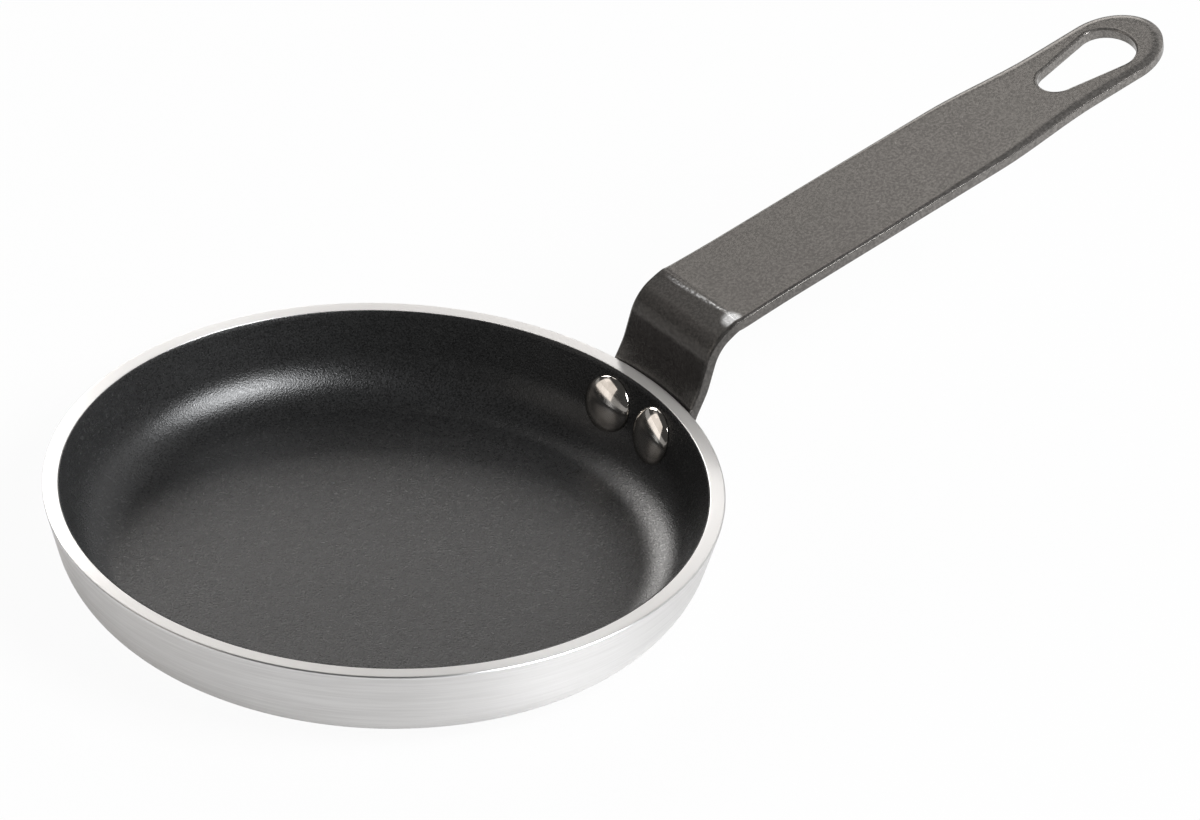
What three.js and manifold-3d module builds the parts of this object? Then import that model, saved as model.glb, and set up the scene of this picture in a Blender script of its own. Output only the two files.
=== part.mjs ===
// Blini pan: a small shallow frying pan, pressed from aluminium sheet, with a non-stick lining
// and a handle of bent steel strip held by two domed rivets.
// Millimetres, +Z up. The underside lies on z = 0, the pan's axis is Z, the handle runs along +X.
import * as THREE from "three";
import { mergeVertices } from "three/addons/utils/BufferGeometryUtils.js";
import Module from "manifold-3d";

const wasm = await Module();
wasm.setup();

// Pan and lining
const rimDiameter = 120;
const panHeight = 18;
const wallLean = THREE.MathUtils.degToRad(15.3); // from upright, opening upwards
const wallThickness = 2.7; // square to the wall
const floorThickness = 3.2;
const outerCornerRadius = 13;
const innerCornerRadius = 10;
const rimEdgeRadius = 0.5;
const liningThickness = 0.25;

// Handle: a punched strip with an eye, bent once over the rim
const stripThickness = 2.3;
const stripEdgeRadius = 0.55;
const flangeWidth = 22.4;
const gripWidth = 21.4;
const endWidth = 18.4;
const gripLength = 106.3; // from the bend to the tip
const gripRise = THREE.MathUtils.degToRad(12.6); // above level
const bendRadius = 9.4; // top face
const neckLength = 8.4; // from the rim's level up to the bend
const flangeDrop = 13.2; // from the rim's level down to the foot
const footCornerRadius = 4;
const hugFade = 7; // over which the curved flange turns flat
const taperLength = 14; // past the bend, from the flange's width to the grip's
const shoulderLength = 23.7; // from the grip's width to the end's
const endLength = 21.6; // past the shoulder
const tipLength = 10.5; // half-oval at the very end
const eyeEndMargin = 5; // metal left beyond the eye
const eyeLength = 21.5;
const eyeWideRadius = 6;
const eyeNarrowRadius = 3.8;

// Rivets
const rivetSpacing = 13.4; // centre to centre, on the outer wall
const rivetDrop = 7.5; // below the rim, down the slope of the wall
const shankRadius = 2.4;
const headRadius = 5.35;
const headHeight = 1.9;
const tailRadius = 4.3;
const tailHeight = 1.5;

// Clearances
const seatGap = 0.3; // between a riveted piece and what it bears on
const holeGap = 0.25; // round each shank

// Fineness of the facets
const roundSteps = 90;
const cornerSteps = 7;
const edgeSteps = 2;
const footSteps = 4;
const eyeSteps = 10;
const neckSteps = 4;
const bendSteps = 9;
const taperSteps = 3;
const shoulderSteps = 7;
const tipSteps = 9;
const stripColumns = 6;
const rivetSteps = 32;
const domeSteps = 6;

const rimRadius = rimDiameter / 2;
const leanSin = Math.sin(wallLean);
const leanCos = Math.cos(wallLean);

// A closed mesh with shared vertices and no empty triangles, as a solid that can be cut.
function toSolid(geometry) {
  geometry.deleteAttribute("normal");
  geometry.deleteAttribute("uv");
  const merged = mergeVertices(geometry, 1e-5);
  const index = merged.index.array;
  const triangles = [];
  for (let i = 0; i < index.length; i += 3) {
    const [a, b, c] = index.slice(i, i + 3);
    if (a !== b && b !== c && c !== a) triangles.push(a, b, c);
  }
  return new wasm.Manifold(new wasm.Mesh({
    numProp: 3,
    vertProperties: new Float32Array(merged.attributes.position.array),
    triVerts: new Uint32Array(triangles),
  }));
}

function toGeometry(solid) {
  const mesh = solid.getMesh();
  const geometry = new THREE.BufferGeometry();
  geometry.setAttribute("position", new THREE.BufferAttribute(mesh.vertProperties, 3));
  geometry.setIndex(new THREE.BufferAttribute(mesh.triVerts, 1));
  geometry.computeVertexNormals();
  return geometry;
}

function namedMesh(name, solid, look) {
  const mesh = new THREE.Mesh(toGeometry(solid), new THREE.MeshStandardMaterial(look));
  mesh.name = name;
  return mesh;
}

// Points on an arc about (x, y), from one angle to another.
function arcPoints(x, y, radius, from, to, steps) {
  const points = [];
  for (let i = 0; i <= steps; i += 1) {
    const angle = THREE.MathUtils.lerp(from, to, i / steps);
    points.push(new THREE.Vector2(x + radius * Math.cos(angle), y + radius * Math.sin(angle)));
  }
  return points;
}

// Spins a profile of (radius, height) points round Z.
function spin(profile, steps) {
  return new THREE.LatheGeometry(profile, steps).rotateX(Math.PI / 2);
}

// Radius of the wall's face at a height, for a face that lies inset from the outer wall.
function wallRadius(inset, z) {
  return rimRadius + ((z - panHeight) * leanSin - inset) / leanCos;
}

// Half section of one face of the cup, from the axis along the floor and up to the rim's level.
function cupFace(inset, floorZ, cornerRadius) {
  const cornerZ = floorZ + cornerRadius;
  const cornerR = wallRadius(inset + cornerRadius, cornerZ);
  return [
    new THREE.Vector2(0, floorZ),
    ...arcPoints(cornerR, cornerZ, cornerRadius, -Math.PI / 2, -wallLean, cornerSteps),
    new THREE.Vector2(wallRadius(inset, panHeight), panHeight),
  ];
}

const outerFace = cupFace(0, 0, outerCornerRadius);
const metalFace = cupFace(wallThickness, floorThickness, innerCornerRadius);
const liningInset = wallThickness + liningThickness;
const liningFloor = floorThickness + liningThickness;
const liningFace = cupFace(liningInset, liningFloor, innerCornerRadius - liningThickness);

// The bare rim is flat, with its outer edge rounded over.
function rimEdge() {
  const x = rimRadius - rimEdgeRadius * (1 + leanSin) / leanCos;
  return arcPoints(x, panHeight - rimEdgeRadius, rimEdgeRadius, -wallLean, Math.PI / 2, edgeSteps);
}

const panBlank = [...outerFace.slice(0, -1), ...rimEdge(), ...metalFace.toReversed()];
const liningBlank = [...metalFace, ...liningFace.toReversed()];

// The strip's top face in the XZ plane. Distance s along it is 0 where the straight grip begins,
// negative back round the bend and down the flange, which lies along the pan's outer wall.
const bendTurn = Math.PI / 2 - wallLean - gripRise;
const bendStart = -bendRadius * bendTurn;
const rimStation = bendStart - neckLength;
const footStation = rimStation - flangeDrop;
const flangeUp = new THREE.Vector2(leanSin, leanCos);
const flangeFront = new THREE.Vector2(-leanCos, leanSin);
const bendFoot = new THREE.Vector2(rimRadius + seatGap / leanCos, panHeight)
  .addScaledVector(flangeUp, neckLength);
const bendCentre = bendFoot.clone().addScaledVector(flangeFront, -bendRadius);

function stripFrame(s) {
  if (s < bendStart) {
    return { point: bendFoot.clone().addScaledVector(flangeUp, s - bendStart), normal: flangeFront };
  }
  const turned = Math.min(s - bendStart, -bendStart) / bendRadius;
  const normal = flangeFront.clone().rotateAround(new THREE.Vector2(), -turned);
  const along = new THREE.Vector2(normal.y, -normal.x);
  const point = bendCentre.clone().addScaledVector(normal, bendRadius);
  return { point: point.addScaledVector(along, Math.max(s, 0)), normal };
}

// How far the strip is curved back, at y off its middle, to hug the round wall. The curve is full
// from the foot to the top of the rivets' tails and fades out past the rim.
const hugEnd = rimStation - rivetDrop + tailRadius + seatGap;

function hug(s, y, z) {
  const fade = 1 - THREE.MathUtils.smoothstep(s, hugEnd, hugEnd + hugFade);
  const radius = wallRadius(-seatGap, Math.min(z, panHeight));
  return fade * (radius - Math.sqrt(radius * radius - y * y));
}

// A point of the flat blank, depth below its top face, carried onto the bent strip.
function bentPoint(s, y, depth) {
  const { point, normal } = stripFrame(s);
  const face = point.clone().addScaledVector(normal, -depth);
  return new THREE.Vector3(face.x - hug(s, y, point.y), y, face.y);
}

// Half the blank's width: it tapers from the flange into the grip and narrows again at the shoulder.
const shoulderEnd = gripLength - endLength;
const shoulderStart = shoulderEnd - shoulderLength;

function halfWidth(s) {
  const grip = THREE.MathUtils.smoothstep(s, bendStart, taperLength);
  const end = THREE.MathUtils.smoothstep(s, shoulderStart, shoulderEnd);
  const body = THREE.MathUtils.lerp(flangeWidth, gripWidth, grip);
  return THREE.MathUtils.lerp(body, endWidth, end) / 2;
}

function spread(from, to, steps) {
  return Array.from({ length: steps + 1 }, (_, i) => THREE.MathUtils.lerp(from, to, i / steps));
}

// One side of the blank's outline, from the foot's corner to the tip.
function blankSide() {
  const foot = arcPoints(footStation + footCornerRadius, flangeWidth / 2 - footCornerRadius,
    footCornerRadius, Math.PI, Math.PI / 2, footSteps);
  const stations = [
    ...spread(hugEnd, bendStart, neckSteps).slice(0, -1),
    ...spread(bendStart, 0, bendSteps),
    ...spread(0, taperLength, taperSteps).slice(1),
    ...spread(shoulderStart, shoulderEnd, shoulderSteps),
  ];
  const side = stations.map((s) => new THREE.Vector2(s, halfWidth(s)));
  const tip = spread(0, Math.PI / 2, tipSteps).map((angle) => new THREE.Vector2(
    gripLength - tipLength * (1 - Math.sin(angle)), endWidth / 2 * Math.cos(angle)));
  tip.at(-1).y = 0;
  return [...foot, ...side, ...tip];
}

// The whole outline of the blank: across the foot, up one side to the tip and back down the other.
function blankOutline(side) {
  const outline = [];
  for (let j = 0; j <= stripColumns; j += 1) {
    outline.push(new THREE.Vector2(footStation, side[0].y * (2 * j / stripColumns - 1)));
  }
  outline.push(...side.slice(1));
  outline.push(...side.slice(1, -1).toReversed().map(({ x, y }) => new THREE.Vector2(x, -y)));
  return outline;
}

// The outline drawn in by a distance, square to its own direction at each point.
function drawnIn(outline, distance) {
  const count = outline.length;
  return outline.map((point, i) => {
    const along = outline[(i + 1) % count].clone().sub(outline[(i + count - 1) % count]).normalize();
    return point.clone().add(new THREE.Vector2(along.y, -along.x).multiplyScalar(distance));
  });
}

// The bent strip before punching. Rings of the drawn-in outline go over the rounded top edge, down
// the side and under the rounded lower edge, and a grid of points fills the top and bottom faces.
function stripSolid() {
  const side = blankSide();
  const outline = blankOutline(side);
  const count = outline.length;
  const levels = arcPoints(stripEdgeRadius, stripEdgeRadius, stripEdgeRadius,
    -Math.PI / 2, -Math.PI, edgeSteps);
  const rings = [
    ...levels.map(({ x, y }) => ({ inset: x, depth: y })),
    ...levels.toReversed().map(({ x, y }) => ({ inset: x, depth: stripThickness - y })),
  ].map(({ inset, depth }) => ({ depth, points: drawnIn(outline, inset) }));

  const corners = [];
  const quad = (a, b, c, d) => corners.push(a, b, c, a, c, d);
  const place = (ring, i) => bentPoint(ring.points[i % count].x, ring.points[i % count].y, ring.depth);
  for (let k = 0; k + 1 < rings.length; k += 1) {
    for (let i = 0; i < count; i += 1) {
      quad(place(rings[k], i), place(rings[k], i + 1), place(rings[k + 1], i + 1), place(rings[k + 1], i));
    }
  }

  const facePoint = (ring, row, j) => {
    if (row === 0) return place(ring, j);
    const left = ring.points[count - row];
    const right = ring.points[stripColumns + row];
    return bentPoint(right.x, THREE.MathUtils.lerp(left.y, right.y, j / stripColumns), ring.depth);
  };
  const bottomRing = rings.at(-1);
  for (let row = 0; row + 1 < side.length; row += 1) {
    for (let j = 0; j < stripColumns; j += 1) {
      quad(facePoint(rings[0], row, j), facePoint(rings[0], row + 1, j),
        facePoint(rings[0], row + 1, j + 1), facePoint(rings[0], row, j + 1));
      quad(facePoint(bottomRing, row, j + 1), facePoint(bottomRing, row + 1, j + 1),
        facePoint(bottomRing, row + 1, j), facePoint(bottomRing, row, j));
    }
  }
  return toSolid(new THREE.BufferGeometry().setFromPoints(corners));
}

// The eye: a wide round end towards the tip and a narrower one towards the grip, joined by tangents.
function eyeCutter() {
  const wideS = gripLength - eyeEndMargin - eyeWideRadius;
  const narrowS = gripLength - eyeEndMargin - eyeLength + eyeNarrowRadius;
  const tangent = Math.PI - Math.acos((eyeWideRadius - eyeNarrowRadius) / (wideS - narrowS));
  const outline = new THREE.Shape();
  outline.absarc(wideS, 0, eyeWideRadius, -tangent, tangent, false);
  outline.absarc(narrowS, 0, eyeNarrowRadius, tangent, 2 * Math.PI - tangent, false);
  const overcut = stripThickness;
  const punch = new THREE.ExtrudeGeometry(outline, {
    depth: stripThickness + 2 * overcut,
    bevelEnabled: false,
    curveSegments: eyeSteps,
  });
  const gripPlace = new THREE.Matrix4().makeRotationY(-gripRise).setPosition(bentPoint(0, 0, 0));
  return toSolid(punch.translate(0, 0, -stripThickness - overcut).applyMatrix4(gripPlace));
}

// A rivet's own frame: origin on the outer wall, +Z square to the wall and into the pan.
function rivetPlace(side) {
  const z = panHeight - rivetDrop * leanCos;
  const radius = wallRadius(0, z);
  const angle = Math.asin(side * rivetSpacing / 2 / radius);
  return new THREE.Matrix4().makeRotationZ(angle)
    .multiply(new THREE.Matrix4().makeTranslation(radius, 0, z))
    .multiply(new THREE.Matrix4().makeRotationY(wallLean - Math.PI / 2));
}

function rod(radius, from, to) {
  const profile = [[0, from], [radius, from], [radius, to], [0, to]];
  return toSolid(spin(profile.map(([r, z]) => new THREE.Vector2(r, z)), rivetSteps));
}

// A domed button that rises from a root; its lower part runs on into whatever it is set on.
function button(radius, height, root) {
  const dome = [];
  for (let i = 0; i <= domeSteps; i += 1) {
    const angle = Math.PI / 2 * i / domeSteps;
    dome.push(new THREE.Vector2(i < domeSteps ? radius * Math.cos(angle) : 0, height * Math.sin(angle)));
  }
  return spin([new THREE.Vector2(0, -root), new THREE.Vector2(radius, -root), ...dome], rivetSteps);
}

// The head inside the pan and the tail behind the flange are upset against the faces they clamp, so
// their undersides are cut to the curve of those faces.
function rivetSolid() {
  const headSeat = liningInset + seatGap;
  const tailSeat = -(2 * seatGap + stripThickness);
  const clampedCorner = innerCornerRadius - liningThickness - seatGap;
  const clampedInside = cupFace(headSeat, liningFloor + seatGap, clampedCorner);
  const clamped = [
    new THREE.Vector2(0, 0),
    new THREE.Vector2(wallRadius(tailSeat, 0), 0),
    new THREE.Vector2(wallRadius(tailSeat, panHeight), panHeight),
    ...clampedInside.toReversed(),
  ];
  const toRivet = rivetPlace(0).invert();
  const clampedSolid = toSolid(spin(clamped, roundSteps).applyMatrix4(toRivet));
  const head = toSolid(button(headRadius, headHeight, wallThickness).translate(0, 0, headSeat));
  const tail = toSolid(button(tailRadius, tailHeight, stripThickness).rotateX(Math.PI)
    .translate(0, 0, tailSeat));
  const shank = rod(shankRadius, tailSeat - tailHeight / 2, headSeat + headHeight / 2);
  return head.add(tail).subtract(clampedSolid).add(shank);
}

function rivetHoles() {
  const reach = headRadius + tailRadius;
  const sides = [1, -1].map((side) => toSolid(toGeometry(rod(shankRadius + holeGap, -reach, reach))
    .applyMatrix4(rivetPlace(side))));
  return sides[0].add(sides[1]);
}

const holes = rivetHoles();
const pan = new THREE.Group();
pan.add(namedMesh("pan_body", toSolid(spin(panBlank, roundSteps)).subtract(holes),
  { color: 0xd4d5d6, roughness: 0.35, metalness: 1 }));
pan.add(namedMesh("nonstick_coating", toSolid(spin(liningBlank, roundSteps)).subtract(holes),
  { color: 0x2a2a2b, roughness: 0.45, metalness: 0 }));
pan.add(namedMesh("handle", stripSolid().subtract(eyeCutter()).subtract(holes),
  { color: 0x4a4845, roughness: 0.5, metalness: 0.2 }));
const rivet = rivetSolid();
for (const [name, side] of [["rivet_left", 1], ["rivet_right", -1]]) {
  const mesh = namedMesh(name, rivet, { color: 0xb9b2a8, roughness: 0.15, metalness: 1 });
  mesh.applyMatrix4(rivetPlace(side));
  pan.add(mesh);
}

export default pan;
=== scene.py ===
# Blini pan: brushed aluminium cup, non-stick lining, coated strip handle and two polished rivets.
import math

import bmesh
import bpy
import numpy as np
from mathutils import Matrix, Vector


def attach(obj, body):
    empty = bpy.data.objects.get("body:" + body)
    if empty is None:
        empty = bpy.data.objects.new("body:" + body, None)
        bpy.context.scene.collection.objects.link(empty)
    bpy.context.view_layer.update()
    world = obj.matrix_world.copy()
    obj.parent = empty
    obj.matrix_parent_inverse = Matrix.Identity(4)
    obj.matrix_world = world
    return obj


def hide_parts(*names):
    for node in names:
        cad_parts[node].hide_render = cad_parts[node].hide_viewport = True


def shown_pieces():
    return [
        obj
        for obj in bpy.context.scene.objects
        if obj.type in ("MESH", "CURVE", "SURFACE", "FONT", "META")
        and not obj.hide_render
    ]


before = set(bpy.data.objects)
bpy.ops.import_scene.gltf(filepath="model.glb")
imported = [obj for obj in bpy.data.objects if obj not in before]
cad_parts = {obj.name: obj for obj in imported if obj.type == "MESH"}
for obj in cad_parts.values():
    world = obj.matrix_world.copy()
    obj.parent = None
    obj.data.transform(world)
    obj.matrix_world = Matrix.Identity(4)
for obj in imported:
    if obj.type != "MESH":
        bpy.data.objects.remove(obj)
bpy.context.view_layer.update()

mm = 0.001
print("frame loaded:", sorted(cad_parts))


# Meshes from grids of points

def smoothStep(x, low, high):  # 0 below low, 1 above high, 3t^2 - 2t^3 between
    t = np.clip((x - low) / (high - low), 0, 1)
    return t * t * (3 - 2 * t)


def arc(cx, cy, radius, start, end, steps):  # centre + radius * (cos, sin) at even angles
    angle = np.linspace(start, end, steps + 1)
    return np.stack([cx + radius * np.cos(angle), cy + radius * np.sin(angle)], 1)


def stretch(p, q, steps):  # straight line from p to q, both ends included
    t = np.linspace(0, 1, steps + 1)[:, None]
    return (1 - t) * np.asarray(p, float) + t * np.asarray(q, float)


def chain(*parts):  # polylines end to end, with doubled joints dropped
    points = np.concatenate(parts)
    step = np.linalg.norm(np.diff(points, axis=0), axis=1)
    return points[np.concatenate([[True], step > 1e-6])]


def quadsOf(rows, columns, wrap, first):  # index quads of a grid; wrap joins its last column to its first
    i = np.arange(rows - 1)[:, None]
    j = np.arange(columns if wrap else columns - 1)[None, :]
    k = (j + 1) % columns
    corners = [i * columns + j, i * columns + k, (i + 1) * columns + k, (i + 1) * columns + j]
    return first + np.stack(corners, -1).reshape(-1, 4)


def pieceFromGrids(name, grids, finish):
    # grids: (points in rows x columns x 3, in millimetres, and wrap); points that coincide are welded
    points = np.concatenate([grid.reshape(-1, 3) for grid, wrap in grids])
    starts = np.cumsum([0] + [grid.shape[0] * grid.shape[1] for grid, wrap in grids])
    quads = np.concatenate([quadsOf(grid.shape[0], grid.shape[1], wrap, first)
                            for (grid, wrap), first in zip(grids, starts)])
    keys, kept, welded = np.unique(np.round(points, 5), axis=0, return_index=True, return_inverse=True)
    quads = welded.reshape(-1)[quads]
    same = quads == np.roll(quads, -1, axis=1)        # a side of no length, at a pole or a tip
    whole = quads[same.sum(1) == 0]
    pinched = same.sum(1) == 1
    keep = ~same[pinched]
    triangles = quads[pinched][keep].reshape(-1, 3)
    mesh = bpy.data.meshes.new(name)
    mesh.from_pydata((points[kept] * mm).tolist(), [], whole.tolist() + triangles.tolist())
    turned = bmesh.new()
    turned.from_mesh(mesh)
    bmesh.ops.recalc_face_normals(turned, faces=turned.faces)
    turned.to_mesh(mesh)
    turned.free()
    mesh.polygons.foreach_set("use_smooth", np.ones(len(mesh.polygons), bool))
    mesh.materials.append(finish)
    piece = bpy.data.objects.new(name, mesh)
    bpy.context.scene.collection.objects.link(piece)
    return piece


def spun(profile, steps):  # (r, z) profile turned round Z: (r cos a, r sin a, z)
    angle = np.linspace(0, 2 * np.pi, steps, endpoint=False)
    r, z = profile[:, 0, None], profile[:, 1, None]
    return np.stack([r * np.cos(angle), r * np.sin(angle), z + 0 * angle], -1)


def finishEdges(piece):  # wide faces keep their own normals, so only the rounded edges bend the light
    weighted = piece.modifiers.new("edge shading", "WEIGHTED_NORMAL")
    weighted.weight = 100
    weighted.keep_sharp = False


def fit(piece, node):
    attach(piece, "root")
    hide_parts(node)
    print("piece:", piece.name, len(piece.data.polygons), "faces")


# Shader expressions

class Value:  # one output socket; arithmetic on it adds Math nodes
    def __init__(self, finish, socket):
        self.finish = finish
        self.socket = socket

    def calc(self, operation, *terms):
        return self.finish.node("ShaderNodeMath", {"operation": operation}, dict(enumerate(terms)))

    def __add__(self, other):
        return self.calc("ADD", self, other)

    def __radd__(self, other):
        return self.calc("ADD", other, self)

    def __sub__(self, other):
        return self.calc("SUBTRACT", self, other)

    def __rsub__(self, other):
        return self.calc("SUBTRACT", other, self)

    def __mul__(self, other):
        return self.calc("MULTIPLY", self, other)

    def __rmul__(self, other):
        return self.calc("MULTIPLY", other, self)

    def __truediv__(self, other):
        return self.calc("DIVIDE", self, other)

    def __rtruediv__(self, other):
        return self.calc("DIVIDE", other, self)

    def __pow__(self, other):
        return self.calc("POWER", self, other)

    def ramp(self, low, high):  # smooth 0 to 1 between low and high
        settings = {"interpolation_type": "SMOOTHSTEP"}
        return self.finish.node("ShaderNodeMapRange", settings, {0: self, 1: low, 2: high})


class Finish:  # one material, made of a Principled shader and what feeds it
    def __init__(self, name):
        self.material = bpy.data.materials.new(name)
        self.material.use_nodes = True
        self.tree = self.material.node_tree
        self.shader = next(n for n in self.tree.nodes if n.type == "BSDF_PRINCIPLED")

    def node(self, kind, settings=None, sockets=None, out=0):
        made = self.tree.nodes.new(kind)
        for key, setting in (settings or {}).items():
            setattr(made, key, setting)
        self.feed(made, sockets or {})
        return Value(self, made.outputs[out])

    def feed(self, made, sockets):
        for key, given in sockets.items():
            if isinstance(given, Value):
                self.tree.links.new(given.socket, made.inputs[key])
            else:
                made.inputs[key].default_value = given

    def look(self, **sockets):  # sockets of the shader, underscores for spaces
        self.feed(self.shader, {key.replace("_", " "): given for key, given in sockets.items()})

    def place(self):  # x, y, z of the object's own frame, in metres
        coords = self.node("ShaderNodeTexCoord", out="Object")
        apart = self.node("ShaderNodeSeparateXYZ", sockets={0: coords}).socket.node
        return [Value(self, socket) for socket in apart.outputs]

    def vector(self, x, y, z):
        return self.node("ShaderNodeCombineXYZ", sockets={0: x, 1: y, 2: z})

    def noise(self, vector, scale, detail=2.0, rough=0.5):
        return self.node("ShaderNodeTexNoise",
                         sockets={"Vector": vector, "Scale": scale, "Detail": detail, "Roughness": rough})

    def flakes(self, vector, scale):  # a random number for each small cell
        cells = {"Vector": vector, "Scale": scale}
        colour = self.node("ShaderNodeTexVoronoi", sockets=cells, out="Color")
        return self.node("ShaderNodeSeparateColor", sockets={0: colour})

    def blend(self, factor, one, two):  # colours: one at 0, two at 1
        settings = {"data_type": "RGBA", "clamp_factor": True}
        return self.node("ShaderNodeMix", settings, {0: factor, 6: one, 7: two}, out=2)

    def relief(self, height, depth):  # height 0 to 1 stands depth metres proud
        return self.node("ShaderNodeBump", sockets={"Height": height, "Distance": depth, "Strength": 1.0},
                         out="Normal")


def grey(level, warm=0.0):  # plain grey, a little red over blue where warm is above 0
    return (level * (1 + warm), level, level * (1 - warm), 1)


# Brushed aluminium

brushedLook = {"bright": 0.80, "dull": 0.69, "rim": 0.86, "wallRough": 0.46, "rimRough": 0.32,
               "rimRun": (17.3 * mm, 17.9 * mm), "grain": 0.75, "depth": 4e-6, "patches": 45.0,
               "fine": (90, 5200), "broad": (40, 900)}    # noise scales round the cup and across it


def brushedAluminium():
    finish = Finish("brushed_aluminium")
    x, y, z = finish.place()
    radius = (x * x + y * y) ** 0.5
    across = z + radius                                   # climbs across every ring of the cup
    turn, climb = brushedLook["fine"]
    fine = finish.noise(finish.vector(x * turn, y * turn, across * climb), 1.0, 3.0, 0.6)
    turn, climb = brushedLook["broad"]
    broad = finish.noise(finish.vector(x * turn, y * turn, across * climb), 1.0)
    patches = finish.noise(finish.vector(x, y, z), brushedLook["patches"])
    streak = fine * 0.55 + broad * 0.45
    rim = z.ramp(*brushedLook["rimRun"])
    shine = (streak * 0.8 + patches * 0.2).ramp(0.32, 0.66)
    base = finish.blend(shine, grey(brushedLook["dull"], 0.018), grey(brushedLook["bright"], 0.014))
    base = finish.blend(rim * 0.9, base, grey(brushedLook["rim"], 0.008))
    wallRough = brushedLook["wallRough"] + (0.5 - streak) * 0.22
    rough = wallRough * (1 - rim) + brushedLook["rimRough"] * rim
    finish.look(Base_Color=base, Metallic=1.0, Roughness=rough, Anisotropic=brushedLook["grain"],
                Anisotropic_Rotation=0.25, Normal=finish.relief(streak, brushedLook["depth"]))
    return finish.material


# Non-stick lining

liningLook = {"dark": 0.006, "pale": 0.017, "fleck": 0.027, "rough": 0.30, "grain": 3000.0,
              "cloud": 260.0, "flakes": 2600.0, "depth": 6.0e-5}


def nonstick():
    finish = Finish("nonstick")
    x, y, z = finish.place()
    spot = finish.vector(x, y, z)
    grain = finish.noise(spot, liningLook["grain"], 2.0, 0.6)
    cloud = finish.noise(spot, liningLook["cloud"], 3.0)
    fleck = finish.flakes(spot, liningLook["flakes"]).ramp(0.86, 0.95)
    tone = (grain * 0.88 + cloud * 0.12).ramp(0.34, 0.66)
    base = finish.blend(tone, grey(liningLook["dark"]), grey(liningLook["pale"]))
    base = finish.blend(fleck * 0.5, base, grey(liningLook["fleck"]))
    rough = liningLook["rough"] + (grain - 0.5) * 0.36 - fleck * 0.14
    finish.look(Base_Color=base, Roughness=rough, Specular_IOR_Level=0.5,
                Normal=finish.relief(grain, liningLook["depth"]))
    return finish.material


# Powder-coated steel

# ratio and run of the painted light along the grip, darker near the pan and paler towards the eye
# strength, tone and run of the painted shade on the bend and the flange below the crease
# the keys from the pale tone to the edge run paint a highlight along the crease, with a patch at its near end
coatLook = {"dark": 0.134, "pale": 0.207, "warm": 0.065, "rough": 0.24, "metal": 0.75,
            "grain": 2100.0, "cloud": 160.0, "depth": 1.0e-5, "fade": 0.78, "fadeRun": (55 * mm, 165 * mm),
            "belowCreaseShade": 0.33, "shadeTone": 0.01, "shadeRun": (68.3 * mm, 70.3 * mm),
            "bare": 1.0, "speckle": 2000.0, "paintedHighlight": 0.5 * mm, "highlightRun": (-9.5 * mm, -6 * mm),
            "skew": -0.06, "sag": 0.3 * mm, "sagHalf": 10.5 * mm, "patchAt": (-0.25, -9.5),
            "patchSize": (2.3, 3.0), "topRun": (-2.6 * mm, -1.4 * mm), "edgeRun": (10.0 * mm, 10.4 * mm)}


def coatedSteel():
    finish = Finish("coated_steel")
    x, y, z = finish.place()
    spot = finish.vector(x, y, z)
    pebble = finish.noise(spot, coatLook["grain"], 2.0, 0.55)
    cloud = finish.noise(spot, coatLook["cloud"], 3.0)
    tone = (pebble * 0.9 + cloud * 0.1).ramp(0.38, 0.62)
    paintedLightRamp = x.ramp(*coatLook["fadeRun"])                   # painted light and shade: the coat is drawn darker near the pan and paler towards the eye
    warm, near, far = coatLook["warm"], coatLook["fade"], coatLook["fade"] ** -0.6
    dark, pale = (finish.blend(paintedLightRamp, grey(coatLook[end] * near, warm), grey(coatLook[end] * far, warm))
                  for end in ("dark", "pale"))
    belowCreaseShade = 1 - x.ramp(*coatLook["shadeRun"])               # painted shade: the bend and the flange below the crease are drawn darker
    base = finish.blend(belowCreaseShade * coatLook["belowCreaseShade"], finish.blend(tone, dark, pale), grey(coatLook["shadeTone"]))

    # painted highlight along the crease, brightest in a patch at its near end, where the base colour turns
    # pale
    creaseX, creaseZ = bent(np.zeros((1, 2)), 0)[0, [0, 2]] * mm
    toNear = 0 - y
    sag = (1 - y * y / coatLook["sagHalf"] ** 2) * coatLook["sag"]
    along = x - (y * coatLook["skew"] + creaseX) + sag
    dots = finish.noise(spot, coatLook["speckle"]).ramp(0.42, 0.64)
    line = 1 - ((along * along) ** 0.5 / coatLook["paintedHighlight"]).ramp(0.0, 1.0)
    line = line * toNear.ramp(*coatLook["highlightRun"])
    (patchX, patchY), (patchWide, patchLong) = coatLook["patchAt"], coatLook["patchSize"]
    offX, offY = ((x - creaseX) / mm - patchX) / patchWide, (y / mm - patchY) / patchLong
    patch = 1 - (offX * offX + offY * offY).ramp(0.0, 1.0)
    low, high = coatLook["topRun"]
    onTop = z.ramp(creaseZ + low, creaseZ + high) * (1 - toNear.ramp(*coatLook["edgeRun"]))
    paintedHighlight = (line * (dots * 0.55 + 0.1) + patch * patch * (dots * 0.4 + 0.9)) * onTop
    base = finish.blend(paintedHighlight, base, grey(coatLook["bare"]))
    rough = coatLook["rough"] + (pebble - 0.5) * 0.12
    finish.look(Base_Color=base, Metallic=coatLook["metal"], Roughness=rough,
                Normal=finish.relief(pebble, coatLook["depth"]))
    return finish.material


# Polished rivets

rivetLook = {"tone": (0.80, 0.76, 0.71, 1), "dull": (0.66, 0.62, 0.57, 1), "rough": 0.08,
             "smear": 420.0, "scratch": (300, 2600, 700), "depth": 6e-7}


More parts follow.
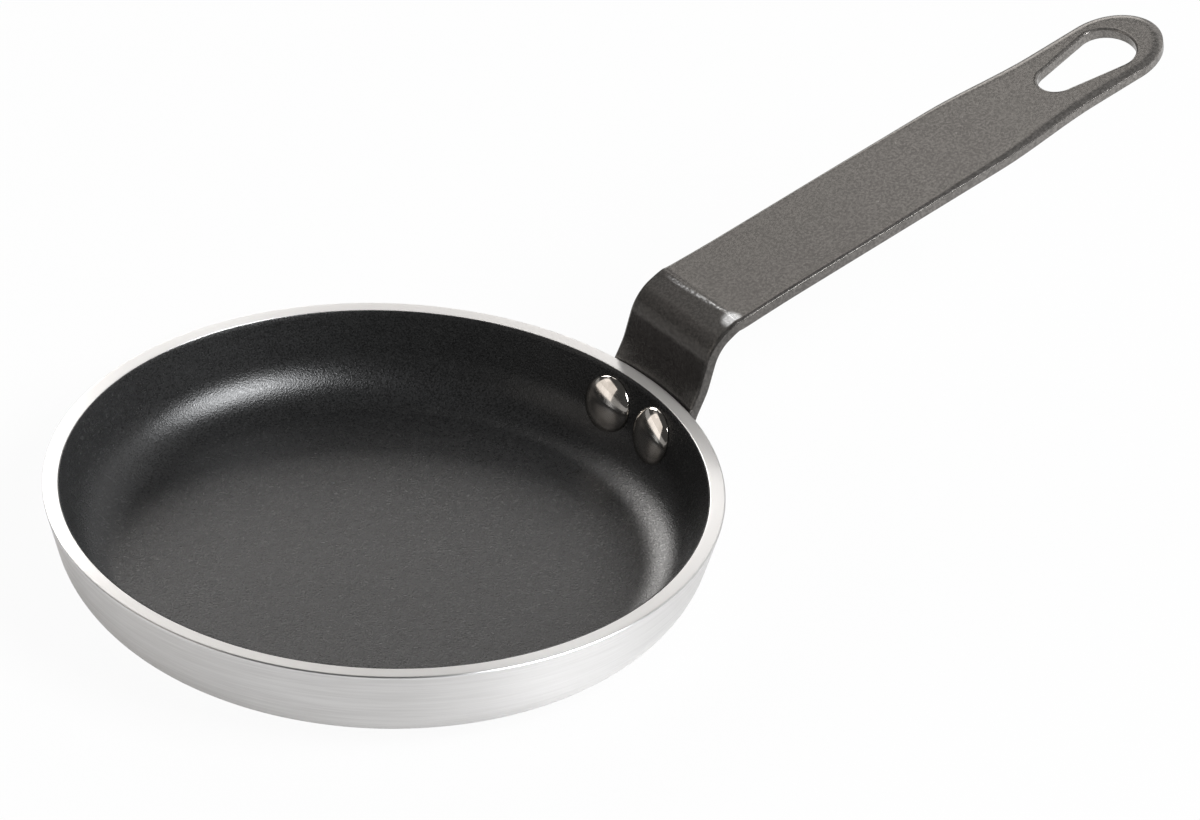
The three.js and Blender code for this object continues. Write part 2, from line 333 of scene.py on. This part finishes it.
def polishedRivet():
    finish = Finish("polished_rivet")
    x, y, z = finish.place()
    spot = finish.vector(x, y, z)
    smear = finish.noise(spot, rivetLook["smear"], 3.0)
    scaleX, scaleY, scaleZ = rivetLook["scratch"]
    scratch = finish.noise(finish.vector(x * scaleX, y * scaleY, z * scaleZ), 1.0)
    base = finish.blend(smear.ramp(0.4, 0.7), rivetLook["tone"], rivetLook["dull"])
    rough = rivetLook["rough"] + smear.ramp(0.45, 0.75) * 0.06 + scratch.ramp(0.55, 0.75) * 0.05
    finish.look(Base_Color=base, Metallic=1.0, Roughness=rough,
                Normal=finish.relief(scratch, rivetLook["depth"]))
    return finish.material


# Cup: wall and floor shared by the body and its lining, millimetres

cup = {"rimRadius": 60.0, "height": 18.0, "lean": math.radians(15.3), "wall": 2.7, "floor": 3.2,
       "outerCorner": 13.0, "innerCorner": 10.0, "rimEdge": 0.3, "innerEdge": 0.12, "lining": 0.25,
       "liningGap": 0.02, "steps": 300}
leanSin, leanCos = math.sin(cup["lean"]), math.cos(cup["lean"])


def wallRadius(inset, z):  # rim radius, less the lean's run below the rim and the inset from the wall
    return cup["rimRadius"] + ((z - cup["height"]) * leanSin - inset) / leanCos


def cupFace(inset, floorZ, corner, topZ):  # half section: floor, the corner's arc, then up the leaning wall
    cornerZ = floorZ + corner
    cornerR = wallRadius(inset + corner, cornerZ)
    bend = arc(cornerR, cornerZ, corner, -math.pi / 2, -cup["lean"], 18)
    wallTop = wallRadius(inset, topZ), topZ
    return chain(stretch((0, floorZ), bend[0], 24), bend, stretch(bend[-1], wallTop, 8))


def panBody():  # outer face, rounded rim and inner face in one closed section, spun round Z
    edge, lip, top = cup["rimEdge"], cup["innerEdge"], cup["height"]
    outerEdgeR = cup["rimRadius"] - edge * (1 + leanSin) / leanCos
    outerEdge = arc(outerEdgeR, top - edge, edge, -cup["lean"], math.pi / 2, 6)
    innerEdgeR = wallRadius(cup["wall"], top) + lip * (1 - leanSin) / leanCos
    innerEdge = arc(innerEdgeR, top - lip, lip, math.pi / 2, math.pi - cup["lean"], 4)
    outer = cupFace(0, 0, cup["outerCorner"], outerEdge[0][1])
    inner = cupFace(cup["wall"], cup["floor"], cup["innerCorner"], innerEdge[-1][1])
    rimFlat = stretch(outerEdge[-1], innerEdge[0], 3)
    section = chain(outer, outerEdge, rimFlat, innerEdge, inner[::-1])
    return pieceFromGrids("panBody", [(spun(section, cup["steps"]), True)], brushedAluminium())


def liningCoat():  # the inner face again, offset by the coat's thickness, with a tiny gap behind it
    back = cup["wall"] + cup["liningGap"]
    front = cup["wall"] + cup["lining"]
    top = cup["height"] - cup["liningGap"]
    behind = cupFace(back, cup["floor"] + cup["liningGap"], cup["innerCorner"] - cup["liningGap"], top)
    shown = cupFace(front, cup["floor"] + cup["lining"], cup["innerCorner"] - cup["lining"], top)
    section = chain(behind, shown[::-1])
    return pieceFromGrids("liningCoat", [(spun(section, cup["steps"]), True)], nonstick())


# Handle: a flat blank with an eye, bent over the rim; millimetres

strip = {"thick": 2.3, "flangeWidth": 22.4, "gripWidth": 21.4, "endWidth": 18.4, "gripLength": 106.3,
         "rise": math.radians(12.6), "bendRadius": 9.4, "neck": 8.4, "drop": 13.2, "footCorner": 4.0,
         "seatGap": 0.3, "hugFade": 7.0, "taper": 14.0, "shoulder": 23.7, "end": 21.6, "tip": 10.5,
         "eyeMargin": 5.0, "eyeLength": 21.5, "eyeWide": 6.0, "eyeNarrow": 3.8, "eyeBlunt": 0.84,
         "roll": 0.9, "endRoll": 2.4, "rollFrom": 30.0, "rollDepth": 0.2, "endRollDepth": 0.45,
         "eyeRoll": 0.6, "eyeRollDepth": 0.2, "topEdge": 0.3, "underEdge": 0.35,
         "hollow": 0.2, "hollowAt": -1.9, "hollowRun": 1.7, "ridge": 0.08, "ridgeRun": 0.5,
         "curl": 0.2, "curlAt": -1.2, "curlRun": 1.8, "curlPower": 8}
rivet = {"spacing": 13.4, "drop": 7.5, "shank": 2.4, "headRadius": 5.35, "headHeight": 1.9,
         "tailRadius": 4.3, "tailHeight": 1.5, "steps": 96}

bendTurn = math.pi / 2 - cup["lean"] - strip["rise"]
bendStart = -strip["bendRadius"] * bendTurn              # stations along the strip, 0 where the grip begins
rimStation = bendStart - strip["neck"]
footStation = rimStation - strip["drop"]
hugEnd = rimStation - rivet["drop"] + rivet["tailRadius"] + strip["seatGap"]
shoulderEnd = strip["gripLength"] - strip["end"]
shoulderStart = shoulderEnd - strip["shoulder"]


def bump(s, at, run):  # exp(-((s - at) / run)^2)
    return np.exp(-((s - at) / run) ** 2)


def sprung(s, y):
    # the bend's end is pressed a little flat before a low ridge, and its edges curl up as |y|^power
    flat = strip["hollow"] * bump(s, strip["hollowAt"], strip["hollowRun"])
    ridge = strip["ridge"] * bump(s, 0, strip["ridgeRun"])
    outer = np.abs(y / halfWidth(s)) ** strip["curlPower"]
    curl = strip["curl"] * bump(s, strip["curlAt"], strip["curlRun"]) * outer
    return ridge + curl - flat


def bent(blank, depth):
    # blank (along, across) at a depth below the top face: straight down the wall, round an arc of the
    # bend's radius, straight up the grip; near the wall it also curves back with the wall's own radius
    s, y = blank[..., 0], blank[..., 1]
    depth = depth - sprung(s, y)
    angle = math.pi - cup["lean"] - np.clip(s - bendStart, 0, -bendStart) / strip["bendRadius"]
    normalX, normalZ = np.cos(angle), np.sin(angle)
    run = np.maximum(s, 0) + np.minimum(s - bendStart, 0)
    footX = cup["rimRadius"] + strip["seatGap"] / leanCos + strip["neck"] * leanSin
    footZ = cup["height"] + strip["neck"] * leanCos
    x = footX + strip["bendRadius"] * leanCos + strip["bendRadius"] * normalX + run * normalZ
    z = footZ - strip["bendRadius"] * leanSin + strip["bendRadius"] * normalZ - run * normalX
    hugRadius = wallRadius(-strip["seatGap"], np.minimum(z, cup["height"]))
    hugShare = 1 - smoothStep(s, hugEnd, hugEnd + strip["hugFade"])
    hug = hugShare * (hugRadius - np.sqrt(hugRadius ** 2 - y ** 2))
    return np.stack([x - depth * normalX - hug, y, z - depth * normalZ], -1)


def halfWidth(s):  # flange's half width easing into the grip's, and that into the end's
    eased = smoothStep(s, bendStart, strip["taper"])
    body = strip["flangeWidth"] + (strip["gripWidth"] - strip["flangeWidth"]) * eased
    return (body + (strip["endWidth"] - body) * smoothStep(s, shoulderStart, shoulderEnd)) / 2


def drawnIn(loop, inset):
    # each point of a closed loop is moved square to its neighbours' chord, to the loop's right
    chord = np.roll(loop, -1, axis=0) - np.roll(loop, 1, axis=0)
    chord /= np.linalg.norm(chord, axis=1, keepdims=True)
    return loop + np.stack([chord[:, 1], -chord[:, 0]], 1) * np.asarray(inset).reshape(-1, 1)


def edgeRing(loop, roll, rollDepth, inward, steps):
    # loops with their depths: over the top edge the depth grows as the cube of the way out, a small
    # round turns on from that slope to the sheared side, and a quarter round ends it below
    def ring(inset, depth):
        return drawnIn(loop, inward * inset), depth

    quarter = np.linspace(0, math.pi / 2, steps + 1)
    under, thick, edge = strip["underEdge"], strip["thick"], strip["topEdge"]
    slope = np.arctan(3 * rollDepth / roll)
    lip = edge * (1 - np.sin(slope))
    turns = [slope + (math.pi / 2 - slope) * share for share in np.linspace(0, 1, 6)[1:]]
    rolled = [ring(lip + (roll - lip) * (1 - np.sin(t)), rollDepth * np.sin(t) ** 3) for t in quarter]
    turned = [ring(edge * (1 - np.sin(t)), rollDepth + edge * (np.cos(slope) - np.cos(t))) for t in turns]
    below = [ring(under * (1 - np.sin(t)), thick - under * (1 - np.cos(t))) for t in quarter[::-1]]
    return rolled + turned + below


def handleStrip():
    columns, eyeRows, narrowRows, wideRows, sideRows, tipRows = 18, 72, 20, 34, 24, 12
    corner, footWidth = strip["footCorner"], strip["flangeWidth"] / 2 - strip["footCorner"]
    footArc = arc(footStation + corner, footWidth, corner, math.pi, math.pi / 2, 10)
    eyeTip = strip["gripLength"] - strip["eyeMargin"]
    eyeStart = eyeTip - strip["eyeLength"]
    wideAt, narrowAt = eyeTip - strip["eyeWide"], eyeStart + strip["eyeNarrow"]
    stations = np.concatenate([
        np.linspace(footStation + corner, bendStart, 26), np.linspace(bendStart, -2, 27)[1:],
        np.linspace(-2, 2, 33)[1:], np.linspace(2, shoulderStart, 30)[1:],
        np.linspace(shoulderStart, eyeStart, 18)[1:]])
    plain = np.stack([stations, halfWidth(stations)], 1)
    tipFrom = strip["gripLength"] - strip["tip"]
    sideRun = np.linspace(eyeStart, tipFrom, sideRows + 1)[1:]
    tipAngle = np.linspace(0, math.pi / 2, eyeRows - sideRows + tipRows + 1)[1:]
    tipWidth = strip["endWidth"] / 2 * np.cos(tipAngle)
    tipArc = np.stack([tipFrom + strip["tip"] * np.sin(tipAngle), tipWidth], 1)
    tipArc[-1, 1] = 0
    side = np.concatenate([footArc, plain[1:], np.stack([sideRun, halfWidth(sideRun)], 1), tipArc])
    footSide = footWidth * np.linspace(-1, 1, 2 * columns + 1)
    footLine = np.stack([np.full(2 * columns + 1, footStation), footSide], 1)
    mirrored = side[1:-1][::-1] * (1, -1)
    outline = np.concatenate([footLine, side[1:], mirrored])

    # eye: half loop from its narrow end round to its wide end, two arcs and their common tangent,
    # with the wide end a little blunt
    tangent = math.pi - math.acos((strip["eyeWide"] - strip["eyeNarrow"]) / (wideAt - narrowAt))
    narrow = arc(narrowAt, 0, strip["eyeNarrow"], math.pi, tangent, narrowRows)
    wide = arc(wideAt, 0, strip["eyeWide"], tangent, 0, wideRows)
    wide[:, 0] -= np.maximum(wide[:, 0] - wideAt, 0) * (1 - strip["eyeBlunt"])
    straight = stretch(narrow[-1], wide[0], eyeRows - narrowRows - wideRows)
    halfEye = chain(narrow, straight, wide)
    halfEye[[0, -1], 1] = 0
    eyeLoop = np.concatenate([halfEye, halfEye[1:-1][::-1] * (1, -1)])

    # the roll over the edge widens towards the end
    widening = smoothStep(outline[:, 0], strip["rollFrom"], shoulderEnd)
    roll = strip["roll"] + (strip["endRoll"] - strip["roll"]) * widening
    rollDepth = strip["rollDepth"] + (strip["endRollDepth"] - strip["rollDepth"]) * widening
    outlineRing = edgeRing(outline, roll, rollDepth, 1, 10)
    eyeRing = edgeRing(eyeLoop, strip["eyeRoll"], strip["eyeRollDepth"], -1, 6)
    grids = [(np.stack([bent(loop, depth) for loop, depth in ring]), True)
             for ring in (outlineRing, eyeRing)]

    # top and bottom faces: rows from the middle line or the eye out to the far and the near side
    eyeFrom = len(footArc) + len(plain) - 2
    eyeTo = eyeFrom + len(halfEye)
    last = 2 * columns + len(side) - 1
    eyeOrder = np.arange(len(halfEye))
    farSide = np.arange(2 * columns, last + 1), eyeOrder, slice(columns, 2 * columns + 1)
    nearRows = np.concatenate([[0], -np.arange(1, len(side) - 1), [last]])
    nearSide = nearRows, -eyeOrder, slice(columns, None, -1)
    share = np.linspace(0, 1, columns + 1)[None, :, None]
    for face, depth in ((0, 0), (-1, strip["thick"])):
        loop, eye = outlineRing[face][0], eyeRing[face][0]
        for sideOrder, eyeWay, foot in (farSide, nearSide):
            outer = loop[sideOrder]
            inner = outer * (1, 0)
            inner[eyeFrom:eyeTo] = eye[eyeWay]
            inner[eyeTo:] = stretch(inner[eyeTo - 1], outer[-1], len(inner) - eyeTo)[1:]
            grid = inner[:, None] * (1 - share) + outer[:, None] * share
            grid[0] = loop[foot]
            grids.append((bent(grid, depth), False))
    return pieceFromGrids("handleStrip", grids, coatedSteel())


# Rivets: domed head in the pan, shank, button tail behind the flange

def rivetPin(name, side, finish):
    # section (r, h) spun round the rivet's own axis, h = 0 on the outer wall and rising into the pan;
    # near each seat it is shifted by the sagitta of the round wall, so that it lies on it all round
    headSeat = cup["wall"] + cup["lining"]
    tailSeat = -(strip["seatGap"] + strip["thick"])
    quarter = np.linspace(0, math.pi / 2, 25)
    wide, high = np.cos(quarter), np.sin(quarter)
    head = np.stack([rivet["headRadius"] * wide, headSeat + rivet["headHeight"] * high], 1)
    tail = np.stack([rivet["tailRadius"] * wide, tailSeat - rivet["tailHeight"] * high], 1)
    head[-1, 0] = tail[-1, 0] = 0
    shank = stretch((rivet["shank"], tailSeat), (rivet["shank"], headSeat), 4)
    section = chain(tail[::-1], shank, head)
    grid = spun(section, rivet["steps"])
    lift = np.maximum(grid[..., 2] - headSeat, 0) / rivet["headHeight"]
    lift += np.maximum(tailSeat - grid[..., 2], 0) / rivet["tailHeight"]
    z0 = cup["height"] - rivet["drop"] * leanCos
    radius = wallRadius(0, z0)
    sagitta = radius - np.sqrt(radius ** 2 - grid[..., 1] ** 2)
    h = grid[..., 2] + sagitta * leanCos * (1 - lift)
    x = radius + grid[..., 0] * leanSin - h * leanCos
    z = z0 + grid[..., 0] * leanCos + h * leanSin
    turn = math.asin(side * rivet["spacing"] / 2 / radius)
    y = grid[..., 1]
    cosTurn, sinTurn = math.cos(turn), math.sin(turn)
    placed = np.stack([x * cosTurn - y * sinTurn, x * sinTurn + y * cosTurn, z], -1)
    return pieceFromGrids(name, [(placed, True)], finish)


fit(panBody(), "pan_body")
fit(liningCoat(), "nonstick_coating")
fit(handleStrip(), "handle")
rivetFinish = polishedRivet()
fit(rivetPin("rivetLeft", 1, rivetFinish), "rivet_left")
fit(rivetPin("rivetRight", -1, rivetFinish), "rivet_right")
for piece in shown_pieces():
    finishEdges(piece)
print("pieces done")


# Studio: a pale floor that rises at its far edge, soft boxes and a dim room

studio = {"floorTone": 0.55, "floorGlow": 0.95, "mirroredGlow": 0.25, "floorReach": 4.5, "coveRadius": 1.5,
          "drop": 0.0002, "room": 0.055, "boxDistance": 1.8}
coolWhite, warmWhite = (0.965, 0.98, 1), (1, 0.98, 0.96)
cupAndFloor = ("panBody", "liningCoat", "rivetLeft", "rivetRight", "studioFloor")
rivetPair = ("rivetLeft", "rivetRight")
handleOnly = ("handleStrip",)

# azimuth and elevation seen from the pan, size in metres, power in watts, tint;
# "lit" limits a box to some pieces, and a box that isn't mirrored leaves no highlight
softBoxes = {
    "keyBox": {"from": (-62, 42), "size": (1.0, 0.87), "watts": 54.0, "tint": coolWhite, "lit": cupAndFloor},
    "edgeBox": {"from": (-69, 46), "size": (0.12, 0.8), "watts": 7.5, "tint": coolWhite, "lit": handleOnly},
    "gripBox": {"from": (-62, 42), "size": (1.0, 0.87), "watts": 54.0, "tint": coolWhite, "lit": handleOnly,
                "mirrored": False},
    "creaseBox": {"from": (92, 46), "size": (1.27, 0.7), "watts": 1.15, "tint": warmWhite, "lit": handleOnly},
    "backBox": {"from": (56, 23), "size": (0.8, 0.56), "watts": 3.15, "tint": (1, 0.975, 0.95)},
    "glowBox": {"from": (80, 28), "size": (0.7, 0.75), "watts": 11.3, "tint": warmWhite, "lit": cupAndFloor},
    "topBox": {"from": (65, 50), "size": (0.45, 0.45), "watts": 0.62, "tint": (1, 0.98, 0.95)},
    "rightWall": {"from": (5, 29), "size": (2.2, 1.1), "watts": 4.9, "tint": (1, 1, 1)},
    "sideBox": {"from": (160, 25), "size": (1.2, 1.2), "watts": 2.4, "tint": (1, 0.94, 0.89),
                "lit": ("panBody", "liningCoat", "handleStrip", "studioFloor")},
    "rivetBox": {"from": (143, 24), "size": (1.4, 1.3), "watts": 5.0, "tint": (1, 0.94, 0.89),
                 "lit": rivetPair},
    "bendBox": {"from": (120, 37), "size": (0.75, 0.6), "watts": 0.35, "tint": (1, 0.96, 0.93)},
    "fillBox": {"from": (147, 22), "size": (1.2, 0.8), "watts": 12.0, "tint": (1, 0.97, 0.94),
                "mirrored": False},
}


def studioFloor():  # flat disc, then a quarter turn upwards, spun round Z
    finish = Finish("floor")
    sees = finish.node("ShaderNodeLightPath").socket.node
    shown = Value(finish, sees.outputs["Is Camera Ray"]) * studio["floorGlow"]
    for other in ("Is Glossy Ray", "Is Transmission Ray"):
        shown = shown + Value(finish, sees.outputs[other]) * studio["mirroredGlow"]
    cloth = finish.node("ShaderNodeBsdfDiffuse", sockets={"Color": grey(studio["floorTone"])})
    glow = finish.node("ShaderNodeEmission", sockets={"Color": grey(1.0), "Strength": 1.0})
    mixed = finish.node("ShaderNodeMixShader", sockets={0: shown, 1: cloth, 2: glow})
    output = next(n for n in finish.tree.nodes if n.type == "OUTPUT_MATERIAL")
    finish.tree.links.new(mixed.socket, output.inputs["Surface"])
    finish.tree.nodes.remove(finish.shader)
    reach, cove = studio["floorReach"] / mm, studio["coveRadius"] / mm
    section = chain(stretch((0, 0), (reach, 0), 10), arc(reach, cove, cove, -math.pi / 2, 0, 16))
    section[:, 1] -= studio["drop"] / mm
    floor = pieceFromGrids("studioFloor", [(spun(section, 128), True)], finish.material)


def softBox(name, box):
    light = bpy.data.lights.new(name, "AREA")
    light.shape = "RECTANGLE"
    light.size, light.size_y = box["size"]
    light.energy = box["watts"]
    light.color = box["tint"]
    azimuth, elevation = (math.radians(angle) for angle in box["from"])
    level = math.cos(elevation)
    out = Vector((math.cos(azimuth) * level, math.sin(azimuth) * level, math.sin(elevation)))
    lamp = bpy.data.objects.new(name, light)
    lamp.location = out * studio["boxDistance"]
    lamp.rotation_euler = out.to_track_quat("Z", "Y").to_euler()
    lamp.visible_camera = False
    lamp.visible_glossy = box.get("mirrored", True)
    bpy.context.scene.collection.objects.link(lamp)
    if "lit" in box:
        reached = bpy.data.collections.new(name)
        for piece in box["lit"]:
            reached.objects.link(bpy.data.objects[piece])
        lamp.light_linking.receiver_collection = reached


studioFloor()
for name, box in softBoxes.items():
    softBox(name, box)
world = bpy.context.scene.world or bpy.data.worlds.new("room")
bpy.context.scene.world = world
world.use_nodes = True
room = next(n for n in world.node_tree.nodes if n.type == "BACKGROUND")
room.inputs["Color"].default_value = grey(1.0)
room.inputs["Strength"].default_value = studio["room"]
print("studio done")


# Camera: long lens, turned so that the handle climbs to the right

shot = {"azimuth": math.radians(-38.997), "elevation": math.radians(32.714), "roll": math.radians(2.723),
        "lens": 274.28, "at": (-0.81456, -1.06501, 0.89646)}


def photoCamera():  # axes: right and up turned by the roll about the line of sight
    a, e, roll = shot["azimuth"], shot["elevation"], shot["roll"]
    back = Vector((math.sin(a) * math.cos(e), -math.cos(a) * math.cos(e), math.sin(e)))
    right = Vector((math.cos(a), math.sin(a), 0))
    up = back.cross(right)
    turnedRight = right * math.cos(roll) + up * math.sin(roll)
    turnedUp = up * math.cos(roll) - right * math.sin(roll)
    lens = bpy.data.cameras.new("photoCamera")
    lens.sensor_fit = "HORIZONTAL"
    lens.sensor_width = 36
    lens.lens = shot["lens"]
    lens.clip_end = 50
    camera = bpy.data.objects.new("photoCamera", lens)
    axes = Matrix((turnedRight, turnedUp, back)).transposed()
    camera.matrix_world = Matrix.Translation(shot["at"]) @ axes.to_4x4()
    bpy.context.scene.collection.objects.link(camera)
    bpy.context.scene.camera = camera


photoCamera()
bpy.context.scene.view_settings.view_transform = "Standard"
